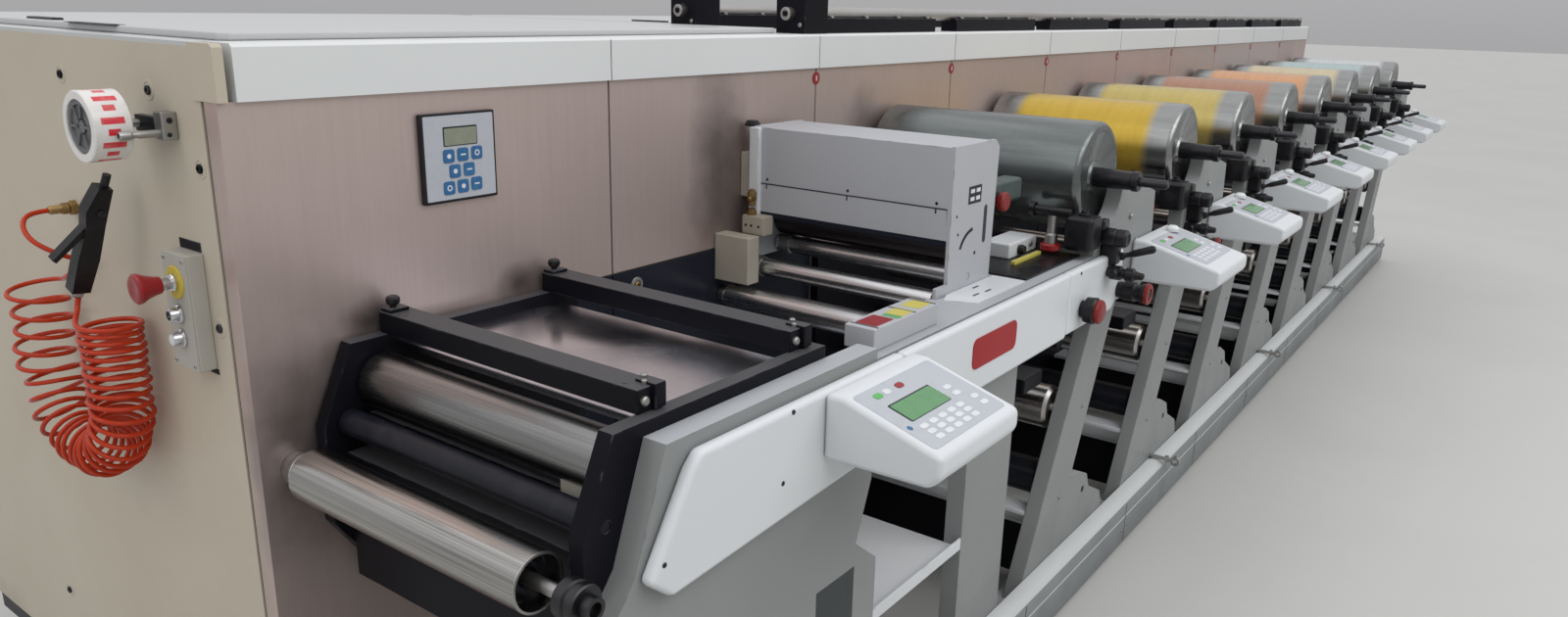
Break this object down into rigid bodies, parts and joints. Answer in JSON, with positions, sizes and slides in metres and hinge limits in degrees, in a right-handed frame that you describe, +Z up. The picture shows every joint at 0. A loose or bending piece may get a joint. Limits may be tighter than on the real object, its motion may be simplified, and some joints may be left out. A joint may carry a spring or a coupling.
{
  "type": "flexographic label press",
  "caption": "Narrow-web label press: steel-fronted cabinet, row of print drums on slanted legs with consoles, corona treater and infeed splice table.",
  "frame": {"origin": "middle of the footprint, on the floor", "axes": "+X along the web from the infeed to the last unit, +Y from the operator to the cabinet, +Z up"},
  "size_m": [7.1275, 2.197, 1.512],
  "materials": {
    "dark_base": "matte",
    "cream_paint": "satin",
    "blue_black_paint": "satin",
    "steel_sheet": "brushed",
    "white_paint": "satin",
    "black_plastic": "satin",
    "ground_steel": "polished",
    "black_metal": "satin",
    "grey_green_paint": "satin",
    "red_enamel": "gloss",
    "dark_glass": "gloss",
    "table_steel": "polished",
    "chrome_roller": "polished",
    "black_rubber": "satin",
    "treater_grey": "satin",
    "fitting_cream": "satin",
    "white_tape": "satin",
    "brass_fitting": "worn",
    "orange_hose": "gloss",
    "chrome_drum": "polished",
    "gold_drum": "polished",
    "copper_drum": "polished",
    "orange_drum": "polished",
    "straw_drum": "polished",
    "pale_drum": "polished"
  },
  "bodies": {
    "press": {"air_inlet": "brass_fitting", "back_doors": "cream_paint", "base_beam": "grey_green_paint", "blow_gun": "black_plastic", "cabinet_body": "dark_base", "clamp_bars": "black_metal", "consoles": "white_paint", "cross_bars": "white_paint", "deck": "white_paint", "deck_lids": "white_paint", "door_handles": "black_plastic", "end_panels": "cream_paint", "far_walls": "black_metal", "feed_panels": "blue_black_paint", "floor_rail": "white_paint", "grips": "black_plastic", "hose_coil": "orange_hose", "hose_tails": "orange_hose", "infeed_covers": "white_paint", "infeed_frame": "grey_green_paint", "infeed_pan": "white_paint", "label_box": "treater_grey", "lower_rollers": "chrome_roller", "plinth": "dark_base", "rail_bases": "black_metal", "red_plate": "red_enamel", "shaft_bosses": "ground_steel", "slide_rails": "ground_steel", "splice_apron": "black_metal", "splice_frame": "black_metal", "splice_table": "table_steel", "steel_panels": "steel_sheet", "stop_box": "treater_grey", "tape_arm": "ground_steel", "tape_roll": "white_tape", "top_band": "white_paint", "trays": "black_metal", "treater_fittings": "fitting_cream", "treater_hood": "treater_grey", "unit_frames": "grey_green_paint", "wall_keypad": "black_plastic", "window_plate": "dark_glass"},
    "drum_1": {"drum_1": "chrome_drum"},
    "drum_2": {"drum_2": "gold_drum"},
    "drum_3": {"drum_3": "gold_drum"},
    "drum_4": {"drum_4": "copper_drum"},
    "drum_5": {"drum_5": "orange_drum"},
    "drum_6": {"drum_6": "straw_drum"},
    "drum_7": {"drum_7": "pale_drum"},
    "drum_8": {"drum_8": "pale_drum"},
    "draw_roller": {"draw_roller": "chrome_roller"},
    "table_roller": {"table_roller": "chrome_roller"},
    "guide_roller": {"guide_roller": "black_rubber"},
    "treater_roller_upper": {"treater_roller_upper": "chrome_roller"},
    "treater_roller_lower": {"treater_roller_lower": "chrome_roller"},
    "idle_roller": {"idle_roller": "chrome_roller"}
  },
  "joints": [
    {"name": "drum_1_spin", "type": "hinge", "parent": "press", "child": "drum_1", "pos_m": [-1.6785, -0.5435, 1.115], "axis": [0, 1, 0], "continuous": true},
    {"name": "drum_2_spin", "type": "hinge", "parent": "press", "child": "drum_2", "pos_m": [-0.9905, -0.5435, 1.115], "axis": [0, 1, 0], "continuous": true},
    {"name": "drum_3_spin", "type": "hinge", "parent": "press", "child": "drum_3", "pos_m": [-0.3025, -0.5435, 1.115], "axis": [0, 1, 0], "continuous": true},
    {"name": "drum_4_spin", "type": "hinge", "parent": "press", "child": "drum_4", "pos_m": [0.3855, -0.5435, 1.115], "axis": [0, 1, 0], "continuous": true},
    {"name": "drum_5_spin", "type": "hinge", "parent": "press", "child": "drum_5", "pos_m": [1.0735, -0.5435, 1.115], "axis": [0, 1, 0], "continuous": true},
    {"name": "drum_6_spin", "type": "hinge", "parent": "press", "child": "drum_6", "pos_m": [1.7615, -0.5435, 1.115], "axis": [0, 1, 0], "continuous": true},
    {"name": "drum_7_spin", "type": "hinge", "parent": "press", "child": "drum_7", "pos_m": [2.4495, -0.5435, 1.115], "axis": [0, 1, 0], "continuous": true},
    {"name": "drum_8_spin", "type": "hinge", "parent": "press", "child": "drum_8", "pos_m": [3.1375, -0.5435, 1.115], "axis": [0, 1, 0], "continuous": true},
    {"name": "draw_roller_spin", "type": "hinge", "parent": "press", "child": "draw_roller", "pos_m": [-3.3995, -0.5435, 0.8], "axis": [0, 1, 0], "continuous": true},
    {"name": "table_roller_spin", "type": "hinge", "parent": "press", "child": "table_roller", "pos_m": [-3.2655, -0.5435, 0.915], "axis": [0, 1, 0], "continuous": true},
    {"name": "guide_roller_spin", "type": "hinge", "parent": "press", "child": "guide_roller", "pos_m": [-3.3275, -0.5435, 0.862], "axis": [0, 1, 0], "continuous": true},
    {"name": "treater_roller_upper_spin", "type": "hinge", "parent": "press", "child": "treater_roller_upper", "pos_m": [-2.2295, -0.5435, 0.967], "axis": [0, 1, 0], "continuous": true},
    {"name": "treater_roller_lower_spin", "type": "hinge", "parent": "press", "child": "treater_roller_lower", "pos_m": [-2.3395, -0.5435, 0.935], "axis": [0, 1, 0], "continuous": true},
    {"name": "idle_roller_spin", "type": "hinge", "parent": "press", "child": "idle_roller", "pos_m": [-2.3795, -0.5435, 0.865], "axis": [0, 1, 0], "continuous": true}
  ]
}
